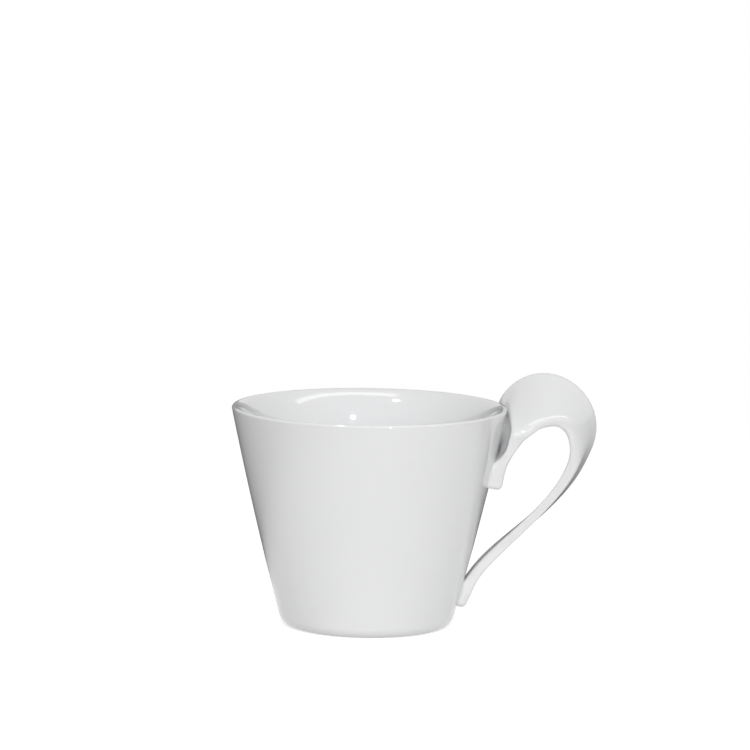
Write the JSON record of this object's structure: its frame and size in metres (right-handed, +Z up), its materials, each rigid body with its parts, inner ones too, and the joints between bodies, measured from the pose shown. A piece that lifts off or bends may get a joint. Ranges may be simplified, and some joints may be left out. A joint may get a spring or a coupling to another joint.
{
  "type": "espresso cup",
  "caption": "Conical white porcelain espresso cup on a recessed foot ring, with a broad ribbon handle that twists from a thumb rest above the rim into a slim stem.",
  "frame": {"origin": "centre of the foot ring, on the plane that the cup rests on", "axes": "+Z up along the bowl's axis, +X towards the handle, +Y to the right-hand rule"},
  "size_m": [0.086, 0.0648, 0.0598],
  "materials": {
    "bowl_glaze": "clear gloss glaze over white porcelain, foot ring left bare",
    "handle_glaze": "clear gloss glaze over white porcelain",
    "slip": "fired porcelain slip under the same gloss glaze"
  },
  "bodies": {
    "root": {"bowl": "bowl_glaze", "handle": "handle_glaze", "upper_slip_joint": "slip", "lower_slip_joint": "slip"}
  },
  "joints": []
}
